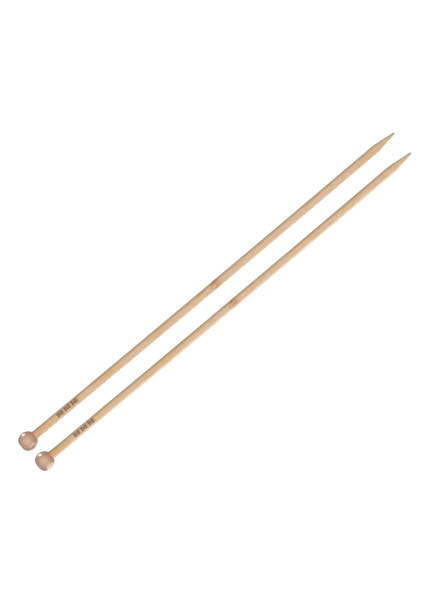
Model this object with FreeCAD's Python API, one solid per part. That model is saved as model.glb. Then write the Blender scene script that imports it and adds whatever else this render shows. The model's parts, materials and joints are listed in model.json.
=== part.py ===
# A pair of straight, single-pointed knitting needles, lying side by side on a floor.
#
# Each needle is three pieces: a bamboo shaft with a turned tenon at one end and a point at the
# other, a turned beech knob with a blind bore, and the glue that holds the tenon in the bore.
#
# Every piece is turned about its needle's axis, so it is drawn as a half profile: "along" is the
# distance from the knob's flat end towards the point, and "out" is the distance from the axis.
#
# Frame: +X from the knobs to the points, +Y from needle b to needle a, +Z up. The origin is the
# centre of the pair's outline, at floor level. All sizes are in millimetres.

import FreeCAD, Part
import math
import os

# Whole needle
LENGTH = 330.0              # knob's flat end to the tip of the point
SPACING = 17.6              # between the two needles' axes

# Shaft
SHAFT_R = 3.0               # a 6 mm needle
TIP_R = 0.85                # the point is rounded
TIP_HALF_ANGLE = math.radians(7.4)
TAPER_BLEND_R = 50.0        # the arc that leads from the shaft's side into its point

# Knob
KNOB_R = 6.65               # at its widest
KNOB_WIDEST = 5.75          # from the flat end to the widest place
KNOB_FLAT_R = 2.3           # flat at the free end
KNOB_LAND_R = 3.5           # flat ring round the shaft

# Glued joint
TENON_R = 2.25
TENON_LENGTH = 6.8
TENON_CHAMFER = 0.4
GLUE_GAP = 0.1              # glue between the tenon and the bore's side
GLUE_POOL = 0.2             # glue between the tenon's end and the bore's full-width floor
DRILL_HALF_ANGLE = math.radians(59.0)

# Places along the needle that follow from the sizes above
KNOB_LENGTH = KNOB_WIDEST + math.sqrt(KNOB_R ** 2 - KNOB_LAND_R ** 2)
TENON_END = KNOB_LENGTH - TENON_LENGTH
BORE_R = TENON_R + GLUE_GAP
BORE_FLOOR = TENON_END - GLUE_POOL
DRILL_POINT = BORE_FLOOR - BORE_R / math.tan(DRILL_HALF_ANGLE)
TIP_CENTRE = LENGTH - TIP_R

# Where the side of the point would meet the side of the shaft with no blend between them, and
# the ends of the arc that blends them
CORNER = TIP_CENTRE - (SHAFT_R * math.cos(TIP_HALF_ANGLE) - TIP_R) / math.sin(TIP_HALF_ANGLE)
BLEND_REACH = TAPER_BLEND_R * math.tan(TIP_HALF_ANGLE / 2)
TAPER_START = CORNER - BLEND_REACH

# A needle lies on its knob and on the end of its full-width shaft, so its axis tilts down
# towards the point by the angle that puts both at floor level.
REST_SPAN = TAPER_START - KNOB_WIDEST
TILT = math.asin(KNOB_R / math.hypot(REST_SPAN, SHAFT_R)) - math.atan2(SHAFT_R, REST_SPAN)

AXIS = FreeCAD.Vector(1, 0, 0)
SIDEWAYS = FreeCAD.Vector(0, 1, 0)


def at(along, out):
    """A point of a half profile."""
    return FreeCAD.Vector(along, out, 0)


def line(start, end):
    return Part.LineSegment(start, end).toShape()


def arc(start, middle, end):
    return Part.Arc(start, middle, end).toShape()


def circle_point(centre_along, centre_out, radius, angle):
    """A point on a circle, with the angle measured from the outward direction to the point."""
    return at(centre_along + radius * math.sin(angle), centre_out + radius * math.cos(angle))


def turned(edges):
    """The solid made by turning a closed half profile once round the axis."""
    face = Part.Face(Part.Wire(edges))
    return face.revolve(at(0, 0), AXIS, 360)


def make_tenon():
    """The stub that the knob is glued on, with a chamfered end."""
    corners = [
        at(TENON_END, 0),
        at(TENON_END, TENON_R - TENON_CHAMFER),
        at(TENON_END + TENON_CHAMFER, TENON_R),
        at(KNOB_LENGTH, TENON_R),
        at(KNOB_LENGTH, 0),
    ]
    return turned(Part.makePolygon(corners + corners[:1]).Edges)


def make_rod():
    """The full-width shaft with its rounded point."""
    blend_out = SHAFT_R - TAPER_BLEND_R
    blend_start = circle_point(TAPER_START, blend_out, TAPER_BLEND_R, 0)
    blend_middle = circle_point(TAPER_START, blend_out, TAPER_BLEND_R, TIP_HALF_ANGLE / 2)
    blend_end = circle_point(TAPER_START, blend_out, TAPER_BLEND_R, TIP_HALF_ANGLE)

    tip_round = math.pi / 2 - TIP_HALF_ANGLE
    tip_start = circle_point(TIP_CENTRE, 0, TIP_R, TIP_HALF_ANGLE)
    tip_middle = circle_point(TIP_CENTRE, 0, TIP_R, TIP_HALF_ANGLE + tip_round / 2)
    tip_end = at(LENGTH, 0)

    return turned([
        line(at(KNOB_LENGTH, 0), at(KNOB_LENGTH, SHAFT_R)),
        line(at(KNOB_LENGTH, SHAFT_R), blend_start),
        arc(blend_start, blend_middle, blend_end),
        line(blend_end, tip_start),
        arc(tip_start, tip_middle, tip_end),
        line(tip_end, at(KNOB_LENGTH, 0)),
    ])


def make_shaft():
    """The bamboo stick: its tenon and its rod, turned from one piece."""
    return make_rod().fuse(make_tenon())


def make_bore():
    """The space that the drill leaves in the knob, with a pointed end."""
    corners = [
        at(DRILL_POINT, 0),
        at(BORE_FLOOR, BORE_R),
        at(KNOB_LENGTH, BORE_R),
        at(KNOB_LENGTH, 0),
    ]
    return turned(Part.makePolygon(corners + corners[:1]).Edges)


def make_knob():
    """The turned bead: flat at the end, a soft shoulder to its widest, then part of a ball."""
    shoulder = Part.Ellipse(at(KNOB_WIDEST, KNOB_FLAT_R), KNOB_WIDEST, KNOB_R - KNOB_FLAT_R)
    land_angle = math.acos(KNOB_LAND_R / KNOB_R)
    widest = at(KNOB_WIDEST, KNOB_R)
    land = at(KNOB_LENGTH, KNOB_LAND_R)
    bead = turned([
        line(at(0, 0), at(0, KNOB_FLAT_R)),
        Part.ArcOfEllipse(shoulder, math.pi / 2, math.pi).toShape(),
        arc(widest, circle_point(KNOB_WIDEST, 0, KNOB_R, land_angle / 2), land),
        line(land, at(KNOB_LENGTH, 0)),
        line(at(KNOB_LENGTH, 0), at(0, 0)),
    ])
    return bead.cut(make_bore())


def make_glue():
    """The glue: what the tenon leaves of the bore."""
    return make_bore().cut(make_tenon())


def lay_down(solid, side):
    """The solid moved to its needle's place on the floor, on the +Y side for +1 and -Y for -1."""
    shoulder_reach = math.hypot(
        KNOB_WIDEST * math.cos(TILT),
        (KNOB_R - KNOB_FLAT_R) * math.sin(TILT),
    )
    knob_end = KNOB_WIDEST * math.cos(TILT) - KNOB_FLAT_R * math.sin(TILT) - shoulder_reach
    tip_end = TIP_CENTRE * math.cos(TILT) + TIP_R
    start = FreeCAD.Vector(
        -(knob_end + tip_end) / 2,
        side * SPACING / 2,
        KNOB_R + KNOB_WIDEST * math.sin(TILT),
    )
    tilt = FreeCAD.Rotation(SIDEWAYS, math.degrees(TILT))
    laid = solid.copy()
    laid.Placement = FreeCAD.Placement(start, tilt)
    return laid


def main():
    os.makedirs("parts", exist_ok=True)
    pieces = {"shaft": make_shaft(), "knob": make_knob(), "glue": make_glue()}
    for needle, side in (("a", 1), ("b", -1)):
        for piece, solid in pieces.items():
            lay_down(solid, side).exportStep(f"parts/{piece}_{needle}.step")


main()
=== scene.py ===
"""Straight bamboo knitting needles with turned beech knobs, lying side by side on a white table.

Each needle is three turned pieces that replace its CAD nodes: the bamboo shaft, the beech knob and
the glue between them. Every piece is a lathe shape about its needle's axis, drawn as a profile of
(along, out) points in millimetres: along runs from the flat end of the knob towards the point, and
out is the distance from the axis. The materials read the same coordinates from a mesh attribute, so
the grain stays in the wood wherever the needle goes.
"""

import json
import math

import bpy
import numpy as np
from mathutils import Matrix, Vector, noise


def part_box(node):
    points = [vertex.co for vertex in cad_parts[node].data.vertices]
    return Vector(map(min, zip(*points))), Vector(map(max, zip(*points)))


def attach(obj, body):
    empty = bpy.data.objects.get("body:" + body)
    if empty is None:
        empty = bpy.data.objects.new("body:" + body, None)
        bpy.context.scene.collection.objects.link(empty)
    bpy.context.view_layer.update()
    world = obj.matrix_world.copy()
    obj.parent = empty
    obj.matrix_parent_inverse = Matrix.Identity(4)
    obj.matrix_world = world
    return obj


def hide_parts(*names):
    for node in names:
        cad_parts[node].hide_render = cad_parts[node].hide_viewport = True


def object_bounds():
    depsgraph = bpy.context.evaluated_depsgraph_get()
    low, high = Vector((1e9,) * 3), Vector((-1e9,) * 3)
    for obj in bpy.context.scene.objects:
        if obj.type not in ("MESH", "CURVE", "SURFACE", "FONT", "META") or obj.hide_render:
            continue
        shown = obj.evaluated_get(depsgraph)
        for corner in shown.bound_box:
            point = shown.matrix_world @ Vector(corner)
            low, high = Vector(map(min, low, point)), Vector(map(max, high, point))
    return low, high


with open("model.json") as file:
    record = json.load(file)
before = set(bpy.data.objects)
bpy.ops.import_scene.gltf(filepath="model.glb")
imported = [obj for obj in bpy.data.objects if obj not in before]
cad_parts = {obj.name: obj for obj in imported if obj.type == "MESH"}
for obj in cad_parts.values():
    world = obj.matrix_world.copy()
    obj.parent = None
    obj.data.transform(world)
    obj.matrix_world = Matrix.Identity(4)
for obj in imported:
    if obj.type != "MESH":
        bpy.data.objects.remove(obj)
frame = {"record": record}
CAD_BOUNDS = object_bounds()

MM = 0.001
MOUNTS = {mount["name"]: mount for mount in frame["record"]["mounts"]}
NEEDLES = ("a", "b")

# Sizes in millimetres that the frame gives
SHAFT_R = MOUNTS["needle_a_shaft"]["dims"]["r_mm"]
FULL_WIDTH_LENGTH = MOUNTS["needle_a_shaft"]["dims"]["length_mm"]
KNOB_R = (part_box("knob_a")[1].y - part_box("knob_a")[0].y) / 2 / MM
FULL_WIDTH_MIDDLE = (
    Vector(MOUNTS["needle_a_shaft"]["pos_m"]) - Vector(MOUNTS["needle_a_knob_end"]["pos_m"])
).length / MM
KNOB_LENGTH = FULL_WIDTH_MIDDLE - FULL_WIDTH_LENGTH / 2
TAPER_START = FULL_WIDTH_MIDDLE + FULL_WIDTH_LENGTH / 2

# The point, in millimetres
TIP_R = 0.85
TIP_HALF_ANGLE = math.radians(7.4)
TAPER_BLEND_R = 50.0
CORNER = TAPER_START + TAPER_BLEND_R * math.tan(TIP_HALF_ANGLE / 2)
TIP_CENTRE = CORNER + (SHAFT_R * math.cos(TIP_HALF_ANGLE) - TIP_R) / math.sin(TIP_HALF_ANGLE)
LENGTH = TIP_CENTRE + TIP_R

# The knob, in millimetres
KNOB_LAND_R = 3.5
KNOB_FLAT_R = 2.3
KNOB_WIDEST = KNOB_LENGTH - math.sqrt(KNOB_R ** 2 - KNOB_LAND_R ** 2)
LAND_EDGE = 0.35                     # how far before the land the ball's curve stops
LAND_EDGE_DROP = 0.04                # the worn edge between the ball and the land
LAND_EDGE_OUT = 0.12
LAND_INSET = 0.2

# The glued joint inside the knob, in millimetres
TENON_R = 2.25
TENON_LENGTH = 6.8
TENON_CHAMFER = 0.4
TENON_END = KNOB_LENGTH - TENON_LENGTH
GLUE_GAP = 0.1                       # beside the tenon
GLUE_POOL = 0.2                      # past its end
DRILL_HALF_ANGLE = math.radians(59.0)
BORE_R = TENON_R + GLUE_GAP
BORE_FLOOR = TENON_END - GLUE_POOL
DRILL_POINT = BORE_FLOOR - BORE_R / math.tan(DRILL_HALF_ANGLE)

# The bead of glue squeezed out where the shaft meets the knob, in millimetres
GLUE_BEAD = 0.28
BEAD_INTO_KNOB = 0.02
BEAD_INTO_SHAFT = 0.05

# How the bamboo departs from a true rod, in millimetres
BOW = 0.5                            # how far the stick's middle bends towards -Y
JOINT_ALONG = {"a": 171.0, "b": 171.6}
RIDGE_HEIGHT = 0.050
RIDGE_REACH = 1.6
WAVE_DEPTH = 0.030
WAVE_LENGTH = 28.0
WEAR_EASE = 4.0                      # the wear fades in and out over this length

# The burned mark, in millimetres unless it says otherwise
MARK_START = 32.0
MARK_GROUPS = 3
MARK_GROUP_PITCH = 6.2
MARK_STROKES = 4.0                   # in each group
MARK_GAP = (0.84, 0.87)              # where a group fades into its gap, as shares of the pitch
MARK_MIDDLE = 0.30                   # towards +Y from the top of the shaft
MARK_HALF_HEIGHT = 1.10
MARK_TALL_EXTRA = 0.40               # more on every second stroke

# How finely each piece is turned
SHAFT_SEGMENTS = 56
KNOB_SEGMENTS = 72
GLUE_SEGMENTS = 56
SHARP_ANGLE = math.radians(35)
ON_AXIS = 1e-6                       # a profile point this near the axis is on it


# ---------------------------------------------------------------- shapes

def needle_place(needle):
    """The matrix from a needle's own millimetres to the row frame's metres."""
    start = Vector(MOUNTS[f"needle_{needle}_knob_end"]["pos_m"])
    along = Vector(MOUNTS[f"needle_{needle}_shaft"]["axis"]).normalized()
    sideways = Vector((0, 1, 0))
    upwards = along.cross(sideways)
    turn = Matrix((along, sideways, upwards)).transposed().to_4x4()
    return Matrix.Translation(start) @ turn @ Matrix.Scale(MM, 4)


def round_run(centre, radii, start, end, count):
    """Points on an ellipse's arc, with angles measured from the outward direction to the point."""
    return [
        (centre[0] + radii[0] * math.sin(angle), centre[1] + radii[1] * math.cos(angle))
        for angle in np.linspace(start, end, count)
    ]


def even_run(start, end, step):
    """Points along a straight stretch of a profile, about one step apart, without its ends."""
    count = max(2, round(math.dist(start, end) / step))
    return [
        (start[0] + (end[0] - start[0]) * i / count, start[1] + (end[1] - start[1]) * i / count)
        for i in range(1, count)
    ]


def bow(along):
    """How far the axis stands aside: a bamboo stick is never quite straight."""
    share = min(1.0, max(0.0, (along - KNOB_LENGTH) / (LENGTH - KNOB_LENGTH)))
    return Vector((0.0, -BOW * 4 * share * (1 - share), 0.0))


def turn_profile(profile, segments, wear, points, faces):
    """Adds one closed profile, turned about the axis, with its faces outwards."""
    rings = []
    for along, out in profile:
        first = len(points)
        if out < ON_AXIS:
            points.append((along, 0.0, 0.0))
            rings.append([first] * segments)
            continue
        for k in range(segments):
            angle = 2 * math.pi * k / segments
            r = out + wear(along, out, angle)
            points.append((along, r * math.sin(angle), r * math.cos(angle)))
        rings.append([first + k for k in range(segments)])

    pairs = list(zip(rings, rings[1:]))
    if profile[0][1] >= ON_AXIS:
        pairs.append((rings[-1], rings[0]))
    for lower, upper in pairs:
        for k in range(segments):
            n = (k + 1) % segments
            corners = [lower[k], upper[k], upper[n], lower[n]]
            faces.append(list(dict.fromkeys(corners)))


def no_wear(along, out, angle):
    return 0.0


def lathe(name, profiles, needle, segments, wear=no_wear):
    """A mesh object made of closed profiles, each turned about the needle's axis.

    A profile that starts and ends on the axis makes a solid; one that stays off it makes a ring.
    wear(along, out, angle) gives how far a point of the surface moves outwards, in millimetres.
    """
    points, faces = [], []
    for profile in profiles:
        turn_profile(profile, segments, wear, points, faces)

    mesh = bpy.data.meshes.new(name)
    place = needle_place(needle)
    mesh.from_pydata([place @ (Vector(p) + bow(p[0])) for p in points], [], faces)
    attribute = mesh.attributes.new("grain", "FLOAT_VECTOR", "POINT")
    attribute.data.foreach_set("vector", np.array(points, np.float32).ravel())
    mesh.shade_smooth()
    mesh.set_sharp_from_angle(angle=SHARP_ANGLE)
    piece = bpy.data.objects.new(name, mesh)
    bpy.context.scene.collection.objects.link(piece)
    return piece


def shaft_profile():
    """The bamboo stick, from the tenon's end to the tip."""
    blend = (TAPER_START, SHAFT_R - TAPER_BLEND_R)
    tenon = [
        (TENON_END, 0.0),
        (TENON_END, TENON_R - TENON_CHAMFER),
        (TENON_END + TENON_CHAMFER, TENON_R),
        (KNOB_LENGTH, TENON_R),
        (KNOB_LENGTH, SHAFT_R),
    ]
    rod = even_run((KNOB_LENGTH, SHAFT_R), (TAPER_START, SHAFT_R), 1.5)
    shoulder = round_run(blend, (TAPER_BLEND_R, TAPER_BLEND_R), 0, TIP_HALF_ANGLE, 10)
    tip = round_run((TIP_CENTRE, 0.0), (TIP_R, TIP_R), TIP_HALF_ANGLE, math.pi / 2, 12)
    cone = even_run(shoulder[-1], tip[0], 1.0)
    return tenon + rod + shoulder + cone + tip[:-1] + [(LENGTH, 0.0)]


def knob_profile():
    """The turned bead with its blind bore, from the flat end round to the drill point."""
    flat = [(0.0, 0.0), (0.0, KNOB_FLAT_R * 0.5)]
    shoulder = round_run(
        (KNOB_WIDEST, KNOB_FLAT_R), (KNOB_WIDEST, KNOB_R - KNOB_FLAT_R), -math.pi / 2, 0, 28)
    ball_end = math.acos(KNOB_LAND_R / KNOB_R) - LAND_EDGE / KNOB_R
    ball = round_run((KNOB_WIDEST, 0.0), (KNOB_R, KNOB_R), 0, ball_end, 26)[1:]
    softened = [
        (KNOB_LENGTH - LAND_EDGE_DROP, KNOB_LAND_R + LAND_EDGE_OUT),
        (KNOB_LENGTH, KNOB_LAND_R - LAND_INSET),
    ]
    bore = [
        (KNOB_LENGTH, BORE_R),
        (BORE_FLOOR, BORE_R),
        (DRILL_POINT, 0.0),
    ]
    return flat + shoulder + ball + softened + bore


def glue_film_profile():
    """The film and pool of glue that fill what the tenon leaves of the bore."""
    return [
        (DRILL_POINT, 0.0),
        (BORE_FLOOR, BORE_R),
        (KNOB_LENGTH, BORE_R),
        (KNOB_LENGTH, TENON_R),
        (TENON_END + TENON_CHAMFER, TENON_R),
        (TENON_END, TENON_R - TENON_CHAMFER),
        (TENON_END, 0.0),
    ]


def glue_bead_profile():
    """The fine hollow-faced bead that was squeezed out round the shaft."""
    centre = (KNOB_LENGTH + GLUE_BEAD, SHAFT_R + GLUE_BEAD)
    hollow = round_run(centre, (GLUE_BEAD, GLUE_BEAD), -math.pi / 2, -math.pi, 6)
    return [
        (KNOB_LENGTH - BEAD_INTO_KNOB, SHAFT_R - BEAD_INTO_SHAFT),
        (KNOB_LENGTH - BEAD_INTO_KNOB, SHAFT_R + GLUE_BEAD),
        *hollow,
        (KNOB_LENGTH + GLUE_BEAD, SHAFT_R - BEAD_INTO_SHAFT),
    ]


def bamboo_wear(needle):
    """How sanding leaves the stick: a trace of the joint's ridge, and slow shallow waves."""
    seed = 10.0 * NEEDLES.index(needle)

    def wear(along, out, angle):
        if out < SHAFT_R - ON_AXIS:
            return 0.0
        ease = min(1.0, (along - KNOB_LENGTH) / WEAR_EASE, (TAPER_START - along) / WEAR_EASE)
        if ease <= 0.0:
            return 0.0
        place = Vector((along / WAVE_LENGTH, math.sin(angle) + seed, math.cos(angle)))
        waves = -WAVE_DEPTH * (0.5 + 0.5 * noise.noise(place))
        ridge = RIDGE_HEIGHT * math.exp(-((along - JOINT_ALONG[needle]) / RIDGE_REACH) ** 2)
        return ease * (waves + ridge)

    return wear


def finish_piece(piece, needle, node, material):
    """Puts a piece on its needle's body, in place of its CAD node, in its material."""
    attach(piece, f"needle_{needle}")
    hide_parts(f"{node}_{needle}")
    piece.data.materials.append(material)


def make_needle(needle, seen_in_lacquer):
    """The three pieces of one needle, in place of its CAD nodes."""
    wear = bamboo_wear(needle)
    shaft = lathe(f"bamboo_shaft_{needle}", [shaft_profile()], needle, SHAFT_SEGMENTS, wear)
    finish_piece(shaft, needle, "shaft", bamboo_material(needle))

    knob = lathe(f"beech_knob_{needle}", [knob_profile()], needle, KNOB_SEGMENTS)
    finish_piece(knob, needle, "knob", beech_material(needle))
    seen_in_lacquer.objects.link(knob)

    glue_profiles = [glue_film_profile(), glue_bead_profile()]
    glue = lathe(f"glue_line_{needle}", glue_profiles, needle, GLUE_SEGMENTS)
    finish_piece(glue, needle, "glue", glue_material(needle))


# ---------------------------------------------------------------- material helpers

def display(red, green, blue):
    """A linear colour from the 0 to 255 values that a screen shows."""
    def linear(value):
        value /= 255
        return value / 12.92 if value <= 0.04045 else ((value + 0.055) / 1.055) ** 2.4
    return (linear(red), linear(green), linear(blue), 1.0)


class Surface:
    """A material being built, with a short call for each kind of node that it needs.

    Lengths in its nodes are the needle's own millimetres.
    """

    def __init__(self, name):
        self.material = bpy.data.materials.new(name)
        self.material.use_nodes = True
        self.tree = self.material.node_tree
        self.shader = self.tree.nodes["Principled BSDF"]
        attribute = self.tree.nodes.new("ShaderNodeAttribute")
        attribute.attribute_name = "grain"
        self.grain = attribute.outputs["Vector"]

    def give(self, socket, value):
        """Links a socket to another node's output, or sets it to a plain value."""
        if isinstance(value, bpy.types.NodeSocket):
            self.tree.links.new(value, socket)
        else:
            socket.default_value = value

    def math(self, operation, first, second=0.0, third=0.0):
        node = self.tree.nodes.new("ShaderNodeMath")
        node.operation = operation
        for socket, value in zip(node.inputs, (first, second, third)):
            self.give(socket, value)
        return node.outputs[0]

    def times(self, first, second):
        return self.math("MULTIPLY", first, second)

    def less(self, first, second):
        return self.math("SUBTRACT", first, second)

    def size(self, value):
        """value without its sign."""
        return self.math("ABSOLUTE", value)

    def axes(self, vector):
        node = self.tree.nodes.new("ShaderNodeSeparateXYZ")
        self.give(node.inputs[0], vector)
        return node.outputs

    def stretch(self, vector, scale, offset=(0.0, 0.0, 0.0)):
        node = self.tree.nodes.new("ShaderNodeVectorMath")
        node.operation = "MULTIPLY_ADD"
        self.give(node.inputs[0], vector)
        self.give(node.inputs[1], scale)
        self.give(node.inputs[2], offset)
        return node.outputs[0]

    def plus(self, vector, extra):
        node = self.tree.nodes.new("ShaderNodeVectorMath")
        node.operation = "ADD"
        self.give(node.inputs[0], vector)
        self.give(node.inputs[1], extra)
        return node.outputs[0]

    def combine(self, x, y, z):
        node = self.tree.nodes.new("ShaderNodeCombineXYZ")
        for socket, value in zip(node.inputs, (x, y, z)):
            self.give(socket, value)
        return node.outputs[0]

    def noise(self, vector, detail=2.0, roughness=0.5):
        node = self.tree.nodes.new("ShaderNodeTexNoise")
        self.give(node.inputs["Vector"], vector)
        node.inputs["Scale"].default_value = 1.0
        node.inputs["Detail"].default_value = detail
        node.inputs["Roughness"].default_value = roughness
        return node.outputs["Fac"]

    def cells(self, vector):
        node = self.tree.nodes.new("ShaderNodeTexVoronoi")
        self.give(node.inputs["Vector"], vector)
        node.inputs["Scale"].default_value = 1.0
        return node.outputs

    def band(self, value, low, high, to_low=0.0, to_high=1.0):
        """value eased from to_low at low to to_high at high, and flat outside them."""
        node = self.tree.nodes.new("ShaderNodeMapRange")
        node.interpolation_type = "SMOOTHSTEP"
        self.give(node.inputs["Value"], value)
        node.inputs["From Min"].default_value = low
        node.inputs["From Max"].default_value = high
        node.inputs["To Min"].default_value = to_low
        node.inputs["To Max"].default_value = to_high
        return node.outputs["Result"]

    def mix(self, factor, first, second):
        node = self.tree.nodes.new("ShaderNodeMix")
        node.data_type = "RGBA"
        ends = [socket for socket in node.inputs if socket.type == "RGBA"]
        self.give(node.inputs["Factor"], factor)
        self.give(ends[0], first)
        self.give(ends[1], second)
        return next(socket for socket in node.outputs if socket.type == "RGBA")

    def bump(self, height, distance_mm):
        node = self.tree.nodes.new("ShaderNodeBump")
        self.give(node.inputs["Height"], height)
        node.inputs["Distance"].default_value = distance_mm * MM
        node.inputs["Strength"].default_value = 1.0
        return node.outputs["Normal"]


# ---------------------------------------------------------------- bamboo

def bamboo_ground(wood, seed):
    """Slow colour along the stick, then blotches a few millimetres long."""
    slow = wood.noise(wood.stretch(wood.grain, (0.045, 0.22, 0.22), seed), detail=3.0)
    slower_seed = (seed[1] + 5.0, seed[0], 3.0)
    slower = wood.noise(wood.stretch(wood.grain, (0.022, 0.12, 0.12), slower_seed))
    golden, pinkish = display(216, 172, 112), display(224, 182, 152)
    colour = wood.mix(wood.band(slow, 0.36, 0.62), display(220, 184, 136), display(217, 186, 150))
    colour = wood.mix(wood.band(slower, 0.50, 0.68), colour, golden)
    colour = wood.mix(wood.band(slower, 0.46, 0.32), colour, pinkish)

    blotch = wood.noise(wood.stretch(wood.grain, (0.13, 0.40, 0.40), (2.0, seed[0], 6.0)))
    pink_blotch, golden_blotch = display(222, 168, 128), display(208, 170, 104)
    colour = wood.mix(wood.band(blotch, 0.52, 0.66, 0.0, 0.75), colour, pink_blotch)
    return wood.mix(wood.band(blotch, 0.46, 0.34, 0.0, 0.75), colour, golden_blotch)


def swerve_at_joint(wood, seed, from_joint):
    """The grain's coordinates, pushed sideways near the joint, where the fibres swerve."""
    near_joint = wood.band(wood.size(from_joint), 0.0, 7.0, 1.0, 0.0)
    wander = wood.noise(wood.stretch(wood.grain, (0.25, 0.5, 0.5), seed))
    swerve = wood.times(near_joint, wander)
    return wood.plus(wood.grain, wood.combine(0.0, swerve, wood.times(swerve, -0.7)))


def bamboo_fibres(wood, seed, colour, swerved):
    """Fine streaks, pale hairs and the darker strands between them.

    Returns the colour, and the streaks and strands that the relief follows too.
    """
    fine_scale, hair_scale, strand_scale = (0.035, 3.4, 3.4), (0.09, 9.0, 9.0), (0.030, 1.35, 1.35)
    fine = wood.noise(wood.stretch(swerved, fine_scale, seed), detail=3.0, roughness=0.65)
    hair = wood.noise(wood.stretch(swerved, hair_scale, seed))
    strand = wood.cells(wood.stretch(swerved, strand_scale, seed))
    strand_line = wood.band(strand["Distance"], 0.10, 0.26, 1.0, 0.0)
    strand_tone = wood.axes(strand["Color"])[0]
    strand_depth = wood.times(strand_line, wood.band(strand_tone, 0.25, 0.9, 0.15, 0.75))
    colour = wood.mix(wood.band(fine, 0.30, 0.75, 0.30, 0.0), colour, display(186, 146, 98))
    colour = wood.mix(wood.band(hair, 0.52, 0.80, 0.0, 0.28), colour, display(232, 212, 182))
    colour = wood.mix(strand_depth, colour, display(176, 132, 82))
    return colour, fine, strand_line


def bamboo_joint(wood, seed, colour, from_joint):
    """A broad reddish stain, with a thin, wavering, broken dark scar across it."""
    ragged = wood.noise(wood.stretch(wood.grain, (0.30, 0.9, 0.9), seed), detail=3.0)
    patchy = wood.noise(wood.stretch(wood.grain, (0.22, 0.65, 0.65), (9.0, seed[0], 4.0)))

    stain_at = wood.math("MULTIPLY_ADD", ragged, 5.0, wood.less(from_joint, 2.5))
    stain = wood.band(wood.size(stain_at), 0.6, 5.5, 0.95, 0.0)
    stain = wood.times(stain, wood.band(patchy, 0.35, 0.62, 0.25, 0.85))
    scar_at = wood.math("MULTIPLY_ADD", ragged, 2.4, wood.less(from_joint, 1.2))
    scar = wood.band(wood.size(scar_at), 0.06, 0.50, 0.80, 0.0)
    scar = wood.times(scar, wood.band(patchy, 0.48, 0.60))
    after = wood.times(
        wood.band(from_joint, -2.0, 1.0),
        wood.band(from_joint, 12.0, 2.0, 0.0, 0.35),
    )

    colour = wood.mix(after, colour, display(214, 160, 122))
    colour = wood.mix(stain, colour, display(186, 118, 54))
    return wood.mix(scar, colour, display(120, 74, 38))


def bamboo_ends(wood, colour, x, fine):
    """Next to the knob the wood is darker and more orange; the very tip is grey from use."""
    # Darker and more orange over the 20 mm of shaft next to the knob.
    orange_by_knob = wood.band(x, KNOB_LENGTH + 20.0, KNOB_LENGTH, 0.0, 0.80)
    colour = wood.mix(orange_by_knob, colour, display(206, 152, 86))
    handled_at = wood.math("MULTIPLY_ADD", fine, -6.0, wood.math("ADD", x, 3.0))
    handled = wood.band(handled_at, LENGTH - 7.0, LENGTH - 1.0, 0.0, 0.85)
    return wood.mix(handled, colour, display(166, 164, 152))


def burned_mark(wood, burn, x, y, z):
    """Where the mark is: groups of short strokes on the upper side, every second one taller."""
    mark_x = wood.less(x, MARK_START)
    pitches = wood.math("DIVIDE", mark_x, MARK_GROUP_PITCH)
    in_group = wood.math("FRACT", pitches)
    in_stroke = wood.math("FRACT", wood.times(in_group, MARK_STROKES))
    bled = wood.math("MULTIPLY_ADD", burn, 0.20, wood.less(wood.size(wood.less(in_stroke, 0.5)), 0.10))
    stroke = wood.band(bled, 0.34, 0.40, 1.0, 0.0)
    group = wood.band(in_group, *MARK_GAP, 1.0, 0.0)

    stroke_number = wood.math("FLOOR", wood.times(pitches, MARK_STROKES))
    tall = wood.math("COMPARE", wood.math("MODULO", stroke_number, 2.0), 0.0, 0.5)
    half_height = wood.math("MULTIPLY_ADD", tall, MARK_TALL_EXTRA, MARK_HALF_HEIGHT)
    from_middle = wood.size(wood.less(y, MARK_MIDDLE))
    inside = wood.band(wood.less(from_middle, half_height), -0.06, 0.10, 1.0, 0.0)

    mark_length = MARK_GROUPS * MARK_GROUP_PITCH
    lengthwise = wood.times(
        wood.band(mark_x, -0.02, 0.0),
        wood.band(mark_x, mark_length, mark_length + 0.02, 1.0, 0.0),
    )
    on_top = wood.band(z, 0.0, 0.5)
    return wood.times(wood.times(wood.times(stroke, group), wood.times(inside, lengthwise)), on_top)


def bamboo_material(needle):
    """Pale satin bamboo: long fibres and darker strands, a reddish joint, a burned mark."""
    wood = Surface(f"bamboo_{needle}")
    index = NEEDLES.index(needle)
    seed = (40.0 * index, 13.0 * index, 7.0 * index)
    x, y, z = wood.axes(wood.grain)
    from_joint = wood.less(x, JOINT_ALONG[needle])

    colour = bamboo_ground(wood, seed)
    swerved = swerve_at_joint(wood, seed, from_joint)
    colour, fine, strand_line = bamboo_fibres(wood, seed, colour, swerved)
    colour = bamboo_joint(wood, seed, colour, from_joint)
    colour = bamboo_ends(wood, colour, x, fine)

    burn = wood.noise(wood.stretch(wood.grain, (4.5, 4.5, 4.5), seed), detail=3.0)
    mark = burned_mark(wood, burn, x, y, z)
    burn_depth = wood.times(mark, wood.band(burn, 0.25, 0.50, 0.70, 1.0))
    colour = wood.mix(burn_depth, colour, display(100, 50, 10))

    relief = wood.math("MULTIPLY_ADD", mark, -2.5, fine)
    relief = wood.math("MULTIPLY_ADD", strand_line, -0.5, relief)
    wood.give(wood.shader.inputs["Base Color"], colour)
    wood.give(wood.shader.inputs["Roughness"], wood.band(fine, 0.2, 0.8, 0.46, 0.34))
    wood.give(wood.shader.inputs["Normal"], wood.bump(relief, 0.030))
    wood.shader.inputs["Coat Weight"].default_value = 0.8
    wood.shader.inputs["Coat Roughness"].default_value = 0.25
    return wood.material


# ---------------------------------------------------------------- beech

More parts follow.
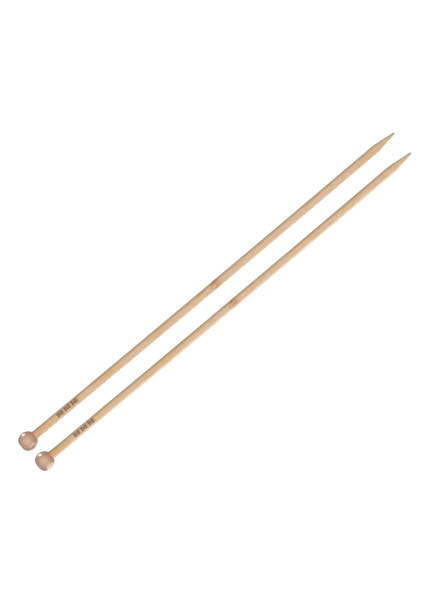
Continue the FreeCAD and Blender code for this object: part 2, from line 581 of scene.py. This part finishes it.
def beech_layers(wood, seed, lean):
    """Growth layers that lie nearly flat, so their rings close round a place just off the top. The cap
    there is painted paler and yellower, as a painted reflection of the overhead light.
    """
    x, y, z = wood.axes(wood.grain)
    warp = wood.noise(wood.stretch(wood.grain, (0.10, 0.22, 0.22), seed))
    height = wood.math("ADD", wood.times(z, math.cos(lean)), wood.times(y, math.sin(lean)))
    height = wood.math("ADD", height, wood.times(x, 0.03))
    layer = wood.math("MULTIPLY_ADD", warp, 0.9, wood.times(height, 1.10))
    phase = wood.math("FRACT", layer)
    late = wood.times(wood.band(phase, 0.45, 0.93), wood.band(phase, 1.0, 0.95))

    slow = wood.noise(wood.stretch(wood.grain, (0.10, 0.16, 0.16), seed))
    colour = wood.mix(wood.band(slow, 0.38, 0.62), display(212, 166, 140), display(208, 170, 138))
    colour = wood.mix(wood.times(late, 0.60), colour, display(182, 130, 104))
    # Painted reflection: the top of each knob, where the rings close round the eye, is mixed halfway
    # to a paler yellow in place of the overhead light's reflection.
    painted_top_reflection = wood.band(height, KNOB_R * 0.955, KNOB_R * 0.995, 0.0, 0.5)
    return wood.mix(painted_top_reflection, colour, display(214, 188, 148))


def beech_material(needle):
    """Pinkish turned beech under clear lacquer: growth layers, ray flecks and fine pores."""
    wood = Surface(f"beech_{needle}")
    index = NEEDLES.index(needle)
    seed = (11.0 * index, 5.0 * index + 2.0, 3.0 * index)
    lean = math.radians((12.0, 9.0)[index])
    colour = beech_layers(wood, seed, lean)

    # Ray flecks are short brown dashes along the fibres. Pores are finer and denser.
    fleck = wood.cells(wood.stretch(wood.grain, (0.55, 2.3, 1.6), seed))
    fleck_line = wood.band(fleck["Distance"], 0.10, 0.22, 1.0, 0.0)
    fleck_tone = wood.axes(fleck["Color"])[1]
    fleck_depth = wood.times(fleck_line, wood.band(fleck_tone, 0.2, 0.9, 0.1, 0.6))
    pores = wood.noise(wood.stretch(wood.grain, (1.0, 9.0, 9.0), seed), roughness=0.6)
    colour = wood.mix(wood.band(pores, 0.30, 0.70, 0.22, 0.0), colour, display(160, 112, 86))
    colour = wood.mix(fleck_depth, colour, display(148, 98, 72))

    relief = wood.math("MULTIPLY_ADD", fleck_line, -0.4, pores)
    wood.give(wood.shader.inputs["Base Color"], colour)
    wood.give(wood.shader.inputs["Roughness"], wood.band(pores, 0.2, 0.8, 0.42, 0.32))
    wood.give(wood.shader.inputs["Normal"], wood.bump(relief, 0.012))
    wood.shader.inputs["Coat Weight"].default_value = 0.8
    wood.shader.inputs["Coat Roughness"].default_value = 0.18
    wood.shader.inputs["Coat IOR"].default_value = 1.5
    return wood.material


# ---------------------------------------------------------------- glue

def glue_material(needle):
    """Cured wood glue: amber, a little cloudy, with small bubbles."""
    glue = Surface(f"glue_{needle}")
    seed = (0.0, 3.0 * NEEDLES.index(needle), 0.0)
    cloud = glue.noise(glue.stretch(glue.grain, (2.0, 2.0, 2.0), seed), detail=3.0)
    bubble = glue.cells(glue.stretch(glue.grain, (6.0, 6.0, 6.0)))
    speck = glue.band(bubble["Distance"], 0.10, 0.24, 0.7, 0.0)
    colour = glue.mix(glue.band(cloud, 0.3, 0.7), display(176, 122, 60), display(198, 150, 88))
    colour = glue.mix(speck, colour, display(222, 190, 140))
    glue.give(glue.shader.inputs["Base Color"], colour)
    glue.give(glue.shader.inputs["Roughness"], glue.band(cloud, 0.3, 0.7, 0.22, 0.36))
    glue.give(glue.shader.inputs["Normal"], glue.bump(cloud, 0.02))
    return glue.material


# ---------------------------------------------------------------- stage

NEEDLE_LENGTH_IN_VIEW = 0.814        # of the picture's height, for the whole length of a needle
NEEDLE_SLOPE = math.radians(40.05)   # of the needles, up to the right
PAIR_RIGHT = 0.0078                  # how far right and up the pair is of the picture's middle,
PAIR_UP = 0.0011                     # as shares of the picture's height
CAMERA_HEIGHT = 1.2
SENSOR_WIDTH_MM = 36.0

OVERHEAD_HEIGHT = 1.5
OVERHEAD_SIZE = (3.0, 3.0)
OVERHEAD_WATTS = 33.5
REFLECTION_DISTANCE = 1.3            # from the needles to the screen and to the window
SCREEN_ELEVATION = math.radians(-9.0)
SCREEN_SIZE = (1.4, 2.3)
SCREEN_WATTS = 33.0
WINDOW_ELEVATION = math.radians(-14.0)
WINDOW_SIZE = (0.40, 0.40)
WINDOW_WATTS = 12.0
FILL_LIGHT = 0.32
BACKDROP = 1.0

TABLE_HALF = 20.0
TABLE_GLOW = 0.70


def make_camera():
    """Straight above the pair, turned so that the needles rise to the right."""
    low, high = CAD_BOUNDS
    middle = (Vector(low) + Vector(high)) / 2
    turn = Matrix.Rotation(-NEEDLE_SLOPE, 4, "Z")
    view_height = (high[0] - low[0]) / NEEDLE_LENGTH_IN_VIEW
    camera = bpy.data.cameras.new("camera")
    camera.sensor_width = SENSOR_WIDTH_MM
    camera.lens = SENSOR_WIDTH_MM * CAMERA_HEIGHT / view_height
    camera.clip_end = 50.0
    holder = bpy.data.objects.new("camera", camera)
    aside = turn @ Vector((-PAIR_RIGHT * view_height, -PAIR_UP * view_height, CAMERA_HEIGHT))
    holder.location = middle + aside
    holder.rotation_euler = turn.to_euler()
    bpy.context.scene.collection.objects.link(holder)
    bpy.context.scene.camera = holder


def add_light(name, place, aim, size, watts):
    """A rectangular lamp that the camera doesn't see, facing a point."""
    lamp = bpy.data.lights.new(name, "AREA")
    lamp.shape = "RECTANGLE"
    lamp.size, lamp.size_y = size
    lamp.energy = watts
    holder = bpy.data.objects.new(name, lamp)
    holder.location = place
    holder.rotation_euler = (Vector(aim) - Vector(place)).to_track_quat("-Z", "Y").to_euler()
    holder.visible_camera = False
    bpy.context.scene.collection.objects.link(holder)
    return holder


def beside(aim, side, elevation):
    """A place at the reflections' distance from a point, towards side (+1 or -1 in Y) and up."""
    direction = Vector((0.0, side * math.cos(elevation), math.sin(elevation)))
    return Vector(aim) + REFLECTION_DISTANCE * direction


def make_lights():
    """A soft light overhead, and a screen and a window that only show as reflections.

    The screen is on needle b's side and the window on needle a's. The screen reaches below the
    table's level and the window is wholly below it: the table doesn't block them, because only the
    camera sees it. Returns the collection of pieces that the window shows in.
    """
    low, high = CAD_BOUNDS
    centre = (Vector(low) + Vector(high)) / 2
    above = centre + Vector((0, 0, OVERHEAD_HEIGHT))
    add_light("overhead", above, centre, OVERHEAD_SIZE, OVERHEAD_WATTS)

    screen_place = beside(centre, -1, SCREEN_ELEVATION)
    screen = add_light("screen", screen_place, centre, SCREEN_SIZE, SCREEN_WATTS)
    screen.visible_diffuse = False

    knobs = Vector((low[0] + KNOB_LENGTH / 2 * MM, 0.0, KNOB_R * MM))
    window_place = beside(knobs, 1, WINDOW_ELEVATION)
    window = add_light("window", window_place, knobs, WINDOW_SIZE, WINDOW_WATTS)
    window.visible_diffuse = False
    window.data.use_shadow = False
    window.data.cycles.use_multiple_importance_sampling = False
    window.light_linking.receiver_collection = bpy.data.collections.new("seen_in_lacquer")
    return window.light_linking.receiver_collection


def make_world():
    """An even fill of light from everywhere, in front of a backdrop as white as the table."""
    world = bpy.data.worlds.new("studio")
    world.use_nodes = True
    tree = world.node_tree
    background = tree.nodes["Background"]
    background.inputs["Color"].default_value = (1.0, 1.0, 1.0, 1.0)
    strength = tree.nodes.new("ShaderNodeMapRange")
    strength.inputs["To Min"].default_value = FILL_LIGHT
    strength.inputs["To Max"].default_value = BACKDROP
    path = tree.nodes.new("ShaderNodeLightPath")
    tree.links.new(path.outputs["Is Camera Ray"], strength.inputs["Value"])
    tree.links.new(strength.outputs["Result"], background.inputs["Strength"])
    bpy.context.scene.world = world


def make_table():
    """A plain white table that glows, and that neither lights, shades nor shows in the needles."""
    half = TABLE_HALF
    corners = [(-half, -half, 0), (half, -half, 0), (half, half, 0), (-half, half, 0)]
    mesh = bpy.data.meshes.new("floor")
    mesh.from_pydata(corners, [], [(0, 1, 2, 3)])
    floor = bpy.data.objects.new("floor", mesh)
    floor.location.z = CAD_BOUNDS[0][2]
    floor.visible_diffuse = False
    floor.visible_glossy = False
    floor.visible_shadow = False
    bpy.context.scene.collection.objects.link(floor)
    material = bpy.data.materials.new("white_table")
    material.use_nodes = True
    shader = material.node_tree.nodes["Principled BSDF"]
    shader.inputs["Base Color"].default_value = (0.86, 0.86, 0.86, 1.0)
    shader.inputs["Roughness"].default_value = 0.9
    shader.inputs["Specular IOR Level"].default_value = 0.1
    shader.inputs["Emission Color"].default_value = (1.0, 1.0, 1.0, 1.0)
    shader.inputs["Emission Strength"].default_value = TABLE_GLOW
    mesh.materials.append(material)


make_camera()
lacquer_reflections = make_lights()
make_world()
make_table()
for name in NEEDLES:
    make_needle(name, lacquer_reflections)
bpy.context.scene.view_settings.view_transform = "Standard"
